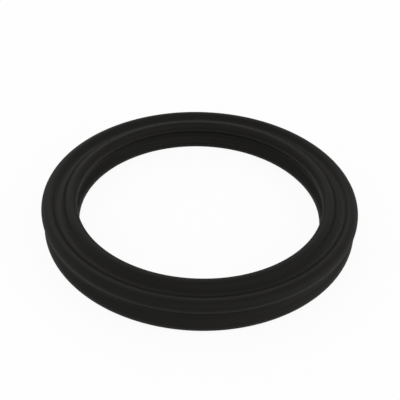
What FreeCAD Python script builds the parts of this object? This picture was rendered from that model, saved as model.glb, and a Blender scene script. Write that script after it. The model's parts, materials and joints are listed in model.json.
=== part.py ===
"""Four-lobed oil seal ring, moulded in one piece from rubber.

Lengths are in millimetres. The ring's axis is Z and its centre, at mid height, is the origin, so the
ring lies flat on the crests of its two lower lobes.

The section is drawn in the XZ plane, where X is the distance from the ring's axis. It has a round lobe
in each corner, and only the lobes touch the shaft, the housing and the walls of the groove. Between two
lobes the side falls into a valley, one hollow arc that runs tangent into both of them, so the outline of
eight arcs has no corner. The valleys hold the oil, and the mould parts in the inner and the outer one,
away from the crests that seal.
"""
import FreeCAD, Part
import os

# Sizes that are chosen one by one
BORE_DIAMETER = 36.0     # across the crests of the inner lobes, the size of the shaft
SECTION_WIDTH = 5.0      # radial, from the inner crests to the outer crests
SECTION_HEIGHT = 5.0     # along the axis, from the lower crests to the upper crests
LOBE_RADIUS = 0.95       # of the round lobe in each corner
RADIAL_WEB = 3.5         # rubber left between the floors of the inner and the outer valley
AXIAL_WEB = 3.5          # rubber left between the floors of the lower and the upper valley

# Places that follow from them, all from the middle of the section
MIDDLE_RADIUS = (BORE_DIAMETER + SECTION_WIDTH) / 2     # the section's middle, from the ring's axis
LOBE_OUT = SECTION_WIDTH / 2 - LOBE_RADIUS              # a lobe's centre, inwards or outwards
LOBE_UP = SECTION_HEIGHT / 2 - LOBE_RADIUS              # a lobe's centre, up or down

CENTRE = FreeCAD.Vector(0, 0, 0)
AXIS = FreeCAD.Vector(0, 0, 1)
FULL_TURN = 360


def at(out, up):
    """The point of the section that lies this far outwards and upwards from its middle."""
    return FreeCAD.Vector(MIDDLE_RADIUS + out, 0, up)


def valley_centre_distance(half_pitch, lobe_level, web):
    """How far the centre of a valley's arc lies from the middle of the section.

    The valley dips between two lobes, whose centres are half_pitch to each side of it and lobe_level
    from the section's middle. Its floor is half the web from the middle. Its arc touches both lobes
    from outside, so the distance between their centres is the sum of the two radii, and Pythagoras
    gives the valley's own radius.
    """
    floor_level = web / 2
    drop = floor_level - lobe_level
    valley_radius = (half_pitch**2 + drop**2 - LOBE_RADIUS**2) / (2 * (LOBE_RADIUS - drop))
    return floor_level + valley_radius


def on_lobe(lobe, towards):
    """The point of a lobe's surface in this direction from its centre."""
    return lobe + FreeCAD.Vector(towards).normalize() * LOBE_RADIUS


def lobe_arc(lobe, valley_before, valley_after):
    """The lobe's round crest, from where one valley's arc leaves it to where the next one does."""
    away = (lobe - valley_before).normalize() + (lobe - valley_after).normalize()
    start, crest, end = (on_lobe(lobe, way) for way in (valley_before - lobe, away, valley_after - lobe))
    return Part.Arc(start, crest, end).toShape()


def valley_arc(lobe_before, valley, floor, lobe_after):
    """The valley's hollow arc, from the lobe before it through its floor to the lobe after it."""
    start = on_lobe(lobe_before, valley - lobe_before)
    end = on_lobe(lobe_after, valley - lobe_after)
    return Part.Arc(start, floor, end).toShape()


def section_outline():
    """The closed outline of the section: lobe, valley, lobe, valley, all the way round."""
    radial = valley_centre_distance(LOBE_UP, LOBE_OUT, RADIAL_WEB)
    axial = valley_centre_distance(LOBE_OUT, LOBE_UP, AXIAL_WEB)
    # In turn: upper outer, upper inner, lower inner and lower outer lobe
    lobes = [at(LOBE_OUT, LOBE_UP), at(-LOBE_OUT, LOBE_UP), at(-LOBE_OUT, -LOBE_UP), at(LOBE_OUT, -LOBE_UP)]
    # The valley after each of those lobes: upper, inner, lower and outer
    valleys = [at(0, axial), at(-radial, 0), at(0, -axial), at(radial, 0)]
    floors = [at(0, AXIAL_WEB / 2), at(-RADIAL_WEB / 2, 0), at(0, -AXIAL_WEB / 2), at(RADIAL_WEB / 2, 0)]
    edges = []
    for corner, lobe in enumerate(lobes):
        next_lobe = lobes[(corner + 1) % len(lobes)]
        edges.append(lobe_arc(lobe, valleys[corner - 1], valleys[corner]))
        edges.append(valley_arc(lobe, valleys[corner], floors[corner], next_lobe))
    return Part.Wire(edges)


def seal_ring():
    """The ring: its section turned once round the axis."""
    return Part.Face(section_outline()).revolve(CENTRE, AXIS, FULL_TURN)


os.makedirs("parts", exist_ok=True)
ring = seal_ring()
ring.exportStep("parts/seal_ring.step")
print(f"seal_ring: {BORE_DIAMETER:.2f} x {BORE_DIAMETER + 2 * SECTION_WIDTH:.2f} x {SECTION_HEIGHT:.2f} mm, "
      f"{ring.Volume:.1f} cubic mm of rubber in {len(ring.Solids)} solid")
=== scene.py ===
# %% [markdown]
# # A lobed oil seal ring in black rubber
#
# The real object is a single ring, moulded from rubber, that seals oil between a shaft and a housing.
# Its section is a square with a round lobe in each corner and a hollow valley in each side. The packed
# model already holds that ring as an exact solid. This script loads it as a fixed frame, lays a finer
# surface over it, gives that surface a rubber finish, and sets up a white studio and a camera.

# %% Load the frame
import json
import math

import bpy
import numpy as np
from mathutils import Matrix, Vector


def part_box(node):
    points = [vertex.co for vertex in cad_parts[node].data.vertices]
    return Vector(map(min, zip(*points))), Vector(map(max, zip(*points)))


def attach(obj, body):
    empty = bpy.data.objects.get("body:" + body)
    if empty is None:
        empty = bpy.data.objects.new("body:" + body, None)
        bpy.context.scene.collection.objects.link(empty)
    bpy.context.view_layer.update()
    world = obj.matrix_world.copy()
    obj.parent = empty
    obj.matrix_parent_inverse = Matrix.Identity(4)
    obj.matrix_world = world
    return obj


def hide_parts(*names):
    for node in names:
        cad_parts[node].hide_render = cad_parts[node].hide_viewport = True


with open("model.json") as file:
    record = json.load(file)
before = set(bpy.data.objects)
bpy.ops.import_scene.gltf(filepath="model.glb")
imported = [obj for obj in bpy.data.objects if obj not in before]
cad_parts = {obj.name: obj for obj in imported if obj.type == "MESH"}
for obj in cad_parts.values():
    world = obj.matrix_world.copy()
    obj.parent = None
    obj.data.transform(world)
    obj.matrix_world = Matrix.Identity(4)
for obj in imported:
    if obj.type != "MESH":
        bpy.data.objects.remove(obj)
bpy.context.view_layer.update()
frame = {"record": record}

# %% [markdown]
# ## Sizes
#
# Every size that the frame knows is read from it, so the surface can't drift from the solid. The box of
# the node gives the height of its middle, and the record's mounts give the bore, the outside diameter
# and the height. Only two sizes of the section are left to name here: the radius of the lobes, and the
# web of rubber between two opposite valleys.

# %% Read the ring's sizes
low_corner, high_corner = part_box("seal_ring")
mounts = {mount["name"]: mount for mount in frame["record"]["mounts"]}

MILLIMETRE = 0.001
OUTSIDE_RADIUS = mounts["housing_lobes"]["dims"]["r_mm"] * MILLIMETRE
BORE_RADIUS = mounts["shaft_lobes"]["dims"]["r_mm"] * MILLIMETRE
SECTION_HEIGHT = mounts["shaft_lobes"]["dims"]["length_mm"] * MILLIMETRE
SECTION_WIDTH = OUTSIDE_RADIUS - BORE_RADIUS
MIDDLE_RADIUS = (OUTSIDE_RADIUS + BORE_RADIUS) / 2
MIDDLE_HEIGHT = (low_corner[2] + high_corner[2]) / 2
FLOOR_HEIGHT = MIDDLE_HEIGHT - SECTION_HEIGHT / 2
LOBE_RADIUS = 0.95 * MILLIMETRE
WEB = 3.5 * MILLIMETRE
print(f"ring {2 * BORE_RADIUS / MILLIMETRE:.1f} x {2 * OUTSIDE_RADIUS / MILLIMETRE:.1f} x "
      f"{SECTION_HEIGHT / MILLIMETRE:.1f} mm, CAD box up to {high_corner[0] / MILLIMETRE:.2f} mm out")

# %% [markdown]
# ## The section
#
# The outline could be drawn freehand as a spline, but a moulder's tool is cut from circles, and the eye
# notices when a highlight bends where it shouldn't. So it is made of eight circular arcs: four lobes
# that bulge out and four valleys that dip in, each one tangent to its neighbours. The valley's radius
# isn't chosen. It is whatever lets its arc touch both lobes and reach the floor of the valley.

# %% Work out the section's outline
LOBE_STEPS = 26
VALLEY_STEPS = 14
ANTICLOCKWISE = 1
CLOCKWISE = -1


def valley_centre_distance(half_pitch, lobe_level, web):
    """Distance from the section's middle to the centre of a valley's arc.

    The arc touches two lobes from outside, so its centre is one valley radius plus one lobe radius from
    theirs, and one valley radius above the floor. Pythagoras ties the two together.
    """
    floor_level = web / 2
    drop = floor_level - lobe_level
    return floor_level + (half_pitch**2 + drop**2 - LOBE_RADIUS**2) / (2 * (LOBE_RADIUS - drop))


def arc(centre, start, stop, turn, steps):
    """Points on a circle round centre, from start up to but not including stop.

    Each point is the centre plus the radius times (cosine, sine) of an angle that changes evenly. turn is
    ANTICLOCKWISE or CLOCKWISE.
    """
    radius = np.hypot(*(start - centre))
    first = np.arctan2(*(start - centre)[::-1])
    last = np.arctan2(*(stop - centre)[::-1])
    sweep = turn * ((turn * (last - first)) % (2 * np.pi))
    angle = first + sweep * np.arange(steps) / steps
    return centre + radius * np.column_stack([np.cos(angle), np.sin(angle)])


def touch_points(lobes, valleys):
    """Where each lobe touches its valley: one lobe radius from its centre, towards the valley's centre."""
    away = valleys - lobes
    return lobes + LOBE_RADIUS * away / np.hypot(*away.T)[:, None]


def section_outline():
    """The closed outline as (outwards, upwards) points from the section's middle, anticlockwise."""
    lobe_out = SECTION_WIDTH / 2 - LOBE_RADIUS
    lobe_up = SECTION_HEIGHT / 2 - LOBE_RADIUS
    radial = valley_centre_distance(lobe_up, lobe_out, WEB)
    axial = valley_centre_distance(lobe_out, lobe_up, WEB)
    lobes = np.array([(1, 1), (-1, 1), (-1, -1), (1, -1)]) * (lobe_out, lobe_up)
    valleys = np.array([(0, axial), (-radial, 0), (0, -axial), (radial, 0)])
    enter = touch_points(lobes, np.roll(valleys, 1, axis=0))
    leave = touch_points(lobes, valleys)
    next_enter = np.roll(enter, -1, axis=0)
    pieces = []
    for corner, (lobe, valley) in enumerate(zip(lobes, valleys)):
        pieces.append(arc(lobe, enter[corner], leave[corner], ANTICLOCKWISE, LOBE_STEPS))
        pieces.append(arc(valley, leave[corner], next_enter[corner], CLOCKWISE, VALLEY_STEPS))
    return np.vstack(pieces)


outline = section_outline()
width, height = np.ptp(outline, axis=0) / MILLIMETRE
print(f"section: {len(outline)} points, {width:.3f} x {height:.3f} mm")

# %% [markdown]
# ## The ring's surface
#
# A ring could be made with the Screw modifier or Spin. A grid worked out directly is just as short and
# leaves nothing to chance: one parameter runs round the section and the other round the axis, so each
# vertex is the outline's point carried round the circle. Both directions close on themselves. The last
# column joins the first, so there is no seam to merge. Each vertex also keeps, as an attribute, how far
# it stands out between the floor of a valley and the crest of a lobe, which the rubber finish reads.

# %% Carry the section round the axis
AROUND_STEPS = 432


def grid_faces(rows, columns):
    """Quads of a grid that closes both ways, turned so that they face outwards."""
    row, column = np.meshgrid(np.arange(rows), np.arange(columns), indexing="ij")
    next_row, next_column = (row + 1) % rows, (column + 1) % columns
    corners = np.stack([row * columns + column, next_row * columns + column,
                        next_row * columns + next_column, row * columns + next_column], axis=-1)
    return corners.reshape(-1, 4)


def ring_mesh(name):
    """The ring as a mesh: (radius cos a, radius sin a, height) for each outline point and each angle a."""
    angle = 2 * np.pi * np.arange(AROUND_STEPS) / AROUND_STEPS
    radius = MIDDLE_RADIUS + outline[:, 0]
    height = np.broadcast_to(MIDDLE_HEIGHT + outline[:, 1], (AROUND_STEPS, len(outline)))
    vertices = np.stack([np.outer(np.cos(angle), radius), np.outer(np.sin(angle), radius), height], axis=-1)
    faces = grid_faces(AROUND_STEPS, len(outline))
    mesh = bpy.data.meshes.new(name)
    mesh.from_pydata(vertices.reshape(-1, 3).tolist(), [], faces.tolist())
    mesh.polygons.foreach_set("use_smooth", np.ones(len(faces), dtype=bool))
    mesh.update()
    return mesh


def keep_crest(mesh):
    """Stores 0 at the floor of a valley and 1 at the tip of a lobe, by distance from the section's middle."""
    distance = np.hypot(*outline.T)
    crest = (distance - distance.min()) / np.ptp(distance)
    values = np.tile(crest, AROUND_STEPS).astype(np.float32)
    mesh.attributes.new("crest", "FLOAT", "POINT").data.foreach_set("value", values)
    return values


ring = bpy.data.objects.new("rubber_ring", ring_mesh("rubber_ring"))
bpy.context.scene.collection.objects.link(ring)
crest = keep_crest(ring.data)
print(f"ring: {len(ring.data.vertices)} vertices, {2 * len(ring.data.polygons)} triangles, "
      f"crest {crest.min()} to {crest.max()}")

# %% [markdown]
# ## The rubber
#
# Seal rubber is black because of the soot in it, and it is neither glossy nor flat: it comes out of the
# mould with a soft sheen. One dark colour would look like plastic, so four things are laid over it, each
# faint and each at its true size. The skin has a fine matte grain, about a tenth of a millimetre across.
# The mould was turned on a lathe, and its tool marks run round the ring. Wax blooms to the surface in
# soft patches, a few millimetres wide. And the lobes, which rub against whatever the ring lies on or
# slides over, are a little duller than the valleys, which keep the skin of the mould.
#
# The patterns could be painted on an unwrapped map. Here they are worked out from Object coordinates
# instead, so that they have no seam and their size is in millimetres.

# %% Start the material and its coordinates
rubber = bpy.data.materials.new("black_rubber")
rubber.use_nodes = True
rubber_tree = rubber.node_tree


def put(socket, value):
    """Links an input to another node's output, or sets it to a number or a colour."""
    if isinstance(value, bpy.types.NodeSocket):
        socket.id_data.links.new(value, socket)
    else:
        socket.default_value = value


def maths(operation, first, *others):
    """One step of arithmetic on a node's output and any other outputs or numbers, in the same tree."""
    step = first.id_data.nodes.new("ShaderNodeMath")
    step.operation = operation
    for socket, value in zip(step.inputs, (first, *others)):
        put(socket, value)
    return step.outputs[0]


def place_in_millimetres():
    """The place on the ring in millimetres: Object coordinates, which are in metres, times 1000."""
    scale = rubber_tree.nodes.new("ShaderNodeVectorMath")
    scale.operation = "SCALE"
    put(scale.inputs[0], rubber_tree.nodes.new("ShaderNodeTexCoord").outputs["Object"])
    put(scale.inputs["Scale"], 1 / MILLIMETRE)
    return scale.outputs[0]


def noise(place, per_mm, detail):
    """Soft random values from 0 to 1, with about this many blotches to a millimetre."""
    texture = rubber_tree.nodes.new("ShaderNodeTexNoise")
    put(texture.inputs["Vector"], place)
    put(texture.inputs["Scale"], per_mm)
    put(texture.inputs["Detail"], detail)
    return texture.outputs["Fac"]


place = place_in_millimetres()
print("rubber: patterns are read in millimetres")

# %% [markdown]
# ### Grain, bloom and tool marks
#
# Grain and bloom are the same noise at two sizes. The tool marks need another trick. All the way round
# the ring, the distance from the axis and the height stay the same along a line that runs with it. So
# noise that is read by those two draws lines round the ring by itself. A slow drift along X lets each
# line fade and come back, as real ones do.

# %% Read the patterns
GRAIN_PER_MM = 10.0
GRAIN_DETAIL = 2.0
BLOOM_PER_MM = 0.4
BLOOM_DETAIL = 3.0
MARKS_PER_MM = 9.0
MARKS_DETAIL = 2.0
MARK_DRIFT = 0.05


def round_the_axis(place):
    """(distance from the axis, height, slow drift): the first is the root of x squared plus y squared."""
    split = rubber_tree.nodes.new("ShaderNodeSeparateXYZ")
    put(split.inputs[0], place)
    x, y, z = split.outputs
    join = rubber_tree.nodes.new("ShaderNodeCombineXYZ")
    put(join.inputs["X"], maths("SQRT", maths("ADD", maths("MULTIPLY", x, x), maths("MULTIPLY", y, y))))
    put(join.inputs["Y"], z)
    put(join.inputs["Z"], maths("MULTIPLY", x, MARK_DRIFT))
    return join.outputs[0]


grain = noise(place, GRAIN_PER_MM, GRAIN_DETAIL)
bloom = noise(place, BLOOM_PER_MM, BLOOM_DETAIL)
marks = noise(round_the_axis(place), MARKS_PER_MM, MARKS_DETAIL)
print(f"rubber: grain {1 / GRAIN_PER_MM:.2f} mm, tool marks {1 / MARKS_PER_MM:.2f} mm, "
      f"bloom {1 / BLOOM_PER_MM:.1f} mm")

# %% [markdown]
# ### Colour, sheen and bump
#
# The bloom mixes a clean black with one that is a shade paler. Roughness sets how far the sheen spreads:
# it follows the bloom and the grain, and rises on the crests. The rubber reflects little where it is
# seen straight on, so its specular level is low. It still brightens towards its edges, which is what
# draws the thin light lines along the lobes. On smooth plastic those lines would be harder. Skin that is
# rubbed dull scatters light the more, the flatter the eye looks along it, so on the lobes the roughness
# rises there, and Layer Weight tells how flat that is. Grain and tool marks are about a hundredth of a
# millimetre high, too fine for the mesh, so they are bump.

# %% Mix the rubber
CLEAN_BLACK = (0.0050, 0.0047, 0.0032)
BLOOMED_BLACK = (0.0064, 0.0059, 0.0044)
ROUGHNESS = 0.42
BLOOM_ROUGHNESS = 0.10
GRAIN_ROUGHNESS = 0.12
CREST_ROUGHNESS = 0.04
SLANT_ROUGHNESS = 0.35
NOISE_MIDDLE = 0.5
SPECULAR_LEVEL = 0.10
MARK_SHARE = 0.35
SKIN_RELIEF = 0.012 * MILLIMETRE


def rubber_colour():
    """Clean black and bloomed black, mixed by the bloom."""
    mix = rubber_tree.nodes.new("ShaderNodeMix")
    mix.data_type = "RGBA"
    put(mix.inputs["Factor"], bloom)
    put(mix.inputs["A"], (*CLEAN_BLACK, 1))
    put(mix.inputs["B"], (*BLOOMED_BLACK, 1))
    return mix.outputs["Result"]


def swing(pattern, share):
    """How far a noise pattern lies from its middle value, times its share."""
    return maths("MULTIPLY", maths("SUBTRACT", pattern, NOISE_MIDDLE), share)


def rubber_roughness():
    """The roughness, plus the bloom's and the grain's swing, plus the crest's own.

    Layer Weight's Facing is 0 where the skin is seen straight on and 1 where it is seen along the
    surface. A crest is rougher by CREST_ROUGHNESS, and by SLANT_ROUGHNESS times the square of Facing.
    """
    crest_value = rubber_tree.nodes.new("ShaderNodeAttribute")
    crest_value.attribute_name = "crest"
    facing = rubber_tree.nodes.new("ShaderNodeLayerWeight").outputs["Facing"]
    slanted = maths("MULTIPLY", maths("MULTIPLY", facing, facing), SLANT_ROUGHNESS)
    rubbed = maths("MULTIPLY", crest_value.outputs["Fac"], maths("ADD", slanted, CREST_ROUGHNESS))
    swings = maths("ADD", swing(bloom, BLOOM_ROUGHNESS), swing(grain, GRAIN_ROUGHNESS))
    return maths("ADD", maths("ADD", swings, ROUGHNESS), rubbed)


def rubber_normal():
    """The normal of tool marks and grain together: one height pattern, SKIN_RELIEF from low to high."""
    height = maths("ADD", maths("MULTIPLY", marks, MARK_SHARE), maths("MULTIPLY", grain, 1 - MARK_SHARE))
    bump = rubber_tree.nodes.new("ShaderNodeBump")
    put(bump.inputs["Height"], height)
    put(bump.inputs["Distance"], SKIN_RELIEF)
    return bump.outputs["Normal"]


shader = rubber_tree.nodes["Principled BSDF"]
put(shader.inputs["Base Color"], rubber_colour())
put(shader.inputs["Roughness"], rubber_roughness())
put(shader.inputs["Normal"], rubber_normal())
put(shader.inputs["Specular IOR Level"], SPECULAR_LEVEL)

ring.data.materials.append(rubber)
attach(ring, "root")
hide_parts("seal_ring")
print(f"rubber: {len(rubber_tree.nodes)} nodes")

# %% [markdown]
# ## The studio
#
# The ring lies on a white floor in a white room. A white background could be had with strong lamps, but
# they would wash out the rubber. Instead the room is white where it is seen, by the camera, in a
# reflection or through glass, and an even soft light everywhere else. Light Path tells the two apart.
# The floor does the same, but keeps a small share of plain white paint, which shows the ring's shadow.
# From below the camera looks through the floor, so that the ring's underside can be seen too.

# %% Build the floor and the room
FLOOR_SIZE = 1.2
FLOOR_WHITE = 0.9
FLOOR_GLOW = 0.93
ROOM_LIGHT = 0.75
WHITE = 1.0


def empty_tree(block):
    """The node tree of a material or a world, with no nodes in it yet."""
    block.use_nodes = True
    block.node_tree.nodes.clear()
    return block.node_tree


def is_seen(tree):
    """1 for rays from the camera, from a mirror and through glass, and 0 for the rest."""
    rays = tree.nodes.new("ShaderNodeLightPath").outputs
    total = rays["Is Camera Ray"]
    for name in ("Is Glossy Ray", "Is Transmission Ray"):
        total = maths("ADD", total, rays[name])
        total.node.use_clamp = True
    return total


def mixed(share, first, second):
    """The mix of two nodes' shaders, with this share of the second."""
    mix = share.id_data.nodes.new("ShaderNodeMixShader")
    for socket, value in zip(mix.inputs, (share, first.outputs[0], second.outputs[0])):
        put(socket, value)
    return mix


def white_floor():
    """White paint that takes a shadow, under an even white where it is seen, and clear from below."""
    material = bpy.data.materials.new("white_floor")
    tree = empty_tree(material)
    paint = tree.nodes.new("ShaderNodeBsdfDiffuse")
    put(paint.inputs["Color"], (FLOOR_WHITE, FLOOR_WHITE, FLOOR_WHITE, 1))
    glow = tree.nodes.new("ShaderNodeEmission")
    put(glow.inputs["Strength"], WHITE)
    white = mixed(maths("MULTIPLY", is_seen(tree), FLOOR_GLOW), paint, glow)
    camera_ray = tree.nodes.new("ShaderNodeLightPath").outputs["Is Camera Ray"]
    from_below = tree.nodes.new("ShaderNodeNewGeometry").outputs["Backfacing"]
    clear = tree.nodes.new("ShaderNodeBsdfTransparent")
    surface = mixed(maths("MULTIPLY", camera_ray, from_below), white, clear)
    put(tree.nodes.new("ShaderNodeOutputMaterial").inputs["Surface"], surface.outputs[0])
    return material


def floor_plane():
    """A flat square at the height of the ring's lowest crests."""
    half = FLOOR_SIZE / 2
    mesh = bpy.data.meshes.new("floor")
    corners = [(-half, -half), (half, -half), (half, half), (-half, half)]
    mesh.from_pydata([(x, y, FLOOR_HEIGHT) for x, y in corners], [], [(0, 1, 2, 3)])
    mesh.materials.append(white_floor())
    floor = bpy.data.objects.new("floor", mesh)
    bpy.context.scene.collection.objects.link(floor)


def white_room():
    """A world of strength 1, which is white, where it is seen, and softer where it lights the ring."""
    world = bpy.data.worlds.new("white_room")
    tree = empty_tree(world)
    backgrounds = []
    for strength in (ROOM_LIGHT, WHITE):
        background = tree.nodes.new("ShaderNodeBackground")
        put(background.inputs["Color"], (1, 1, 1, 1))
        put(background.inputs["Strength"], strength)
        backgrounds.append(background)
    room = mixed(is_seen(tree), *backgrounds)
    put(tree.nodes.new("ShaderNodeOutputWorld").inputs["Surface"], room.outputs[0])
    bpy.context.scene.world = world


floor_plane()
white_room()
print(f"studio: floor {FLOOR_SIZE:.1f} m wide at {FLOOR_HEIGHT / MILLIMETRE:.1f} mm, room light {ROOM_LIGHT}")

# %% [markdown]
# ## The lamps
#
# Even light from all sides would leave the ring flat, so four soft boxes give it form. Black rubber shows
# them less by the light that they cast than by their sheen. A big box at the front on each side spreads
# a soft sheen over the flanks. One behind the ring is mirrored in the tops of the lobes and draws the
# bright line along them. A low strip at the right reaches the outer side, which the others miss.
#
# Each box is placed by the direction it is seen in from the ring, and its brightness is that of its face,
# where 1 is as bright as the white room. A lamp's watts follow from that: pi times the face's area times
# its brightness.

# %% Hang the soft boxes
LAMP_DISTANCE = 0.5


def direction(azimuth, elevation):
    """Unit vector towards an angle from +X, anticlockwise, and a height above the floor, in degrees."""
    a, e = math.radians(azimuth), math.radians(elevation)
    return Vector((math.cos(e) * math.cos(a), math.cos(e) * math.sin(a), math.sin(e)))


def soft_box(name, azimuth, elevation, width, height, brightness):
    """A rectangular lamp that faces the ring. It lights, but the camera doesn't see it."""
    lamp = bpy.data.lights.new(name, "AREA")
    lamp.shape = "RECTANGLE"
    lamp.size = width
    lamp.size_y = height
    lamp.energy = math.pi * width * height * brightness
    holder = bpy.data.objects.new(name, lamp)
    place = direction(azimuth, elevation) * LAMP_DISTANCE
    holder.matrix_world = Matrix.Translation(place) @ place.to_track_quat("Z", "Y").to_matrix().to_4x4()
    holder.visible_camera = False
    bpy.context.scene.collection.objects.link(holder)
    print(f"{name}: {lamp.energy:.3f} W")


# Name, azimuth and elevation in degrees, width and height in metres, brightness
soft_box("right_box", 311, 35, 0.90, 0.49, 0.57)
soft_box("back_box", 107, 38, 0.31, 0.39, 0.62)
soft_box("left_box", 213, 29, 1.15, 0.29, 0.40)
soft_box("low_strip", 333, 6, 0.53, 0.08, 2.20)

# %% [markdown]
# ## The camera
#
# The picture is a close-up in strong perspective: the camera stands less than four times the ring's
# radius from its centre, and is held a little askew, so that the ring's right side sits lower.

# %% Place the camera
FRONT = -90
CAMERA_ELEVATION = 38.31
CAMERA_ROLL = 1.744
CAMERA_DISTANCE = 3.6357 * OUTSIDE_RADIUS
CLIP_START = 1.0 * MILLIMETRE
LENS = 50.0
SENSOR = 36.0


def add_camera():
    """A camera that looks at the ring's centre from the front and above, rolled a little."""
    away = direction(FRONT, CAMERA_ELEVATION)
    upright = away.to_track_quat("Z", "Y").to_matrix().to_4x4()
    roll = Matrix.Rotation(math.radians(CAMERA_ROLL), 4, "Z")
    camera = bpy.data.cameras.new("camera")
    camera.lens = LENS
    camera.sensor_width = SENSOR
    camera.clip_start = CLIP_START
    holder = bpy.data.objects.new("camera", camera)
    holder.matrix_world = Matrix.Translation(away * CAMERA_DISTANCE) @ upright @ roll
    bpy.context.scene.collection.objects.link(holder)
    bpy.context.scene.camera = holder
    print(f"camera: {CAMERA_DISTANCE / MILLIMETRE:.1f} mm from the centre, {CAMERA_ELEVATION} degrees up")


add_camera()
bpy.context.scene.view_settings.view_transform = "Standard"
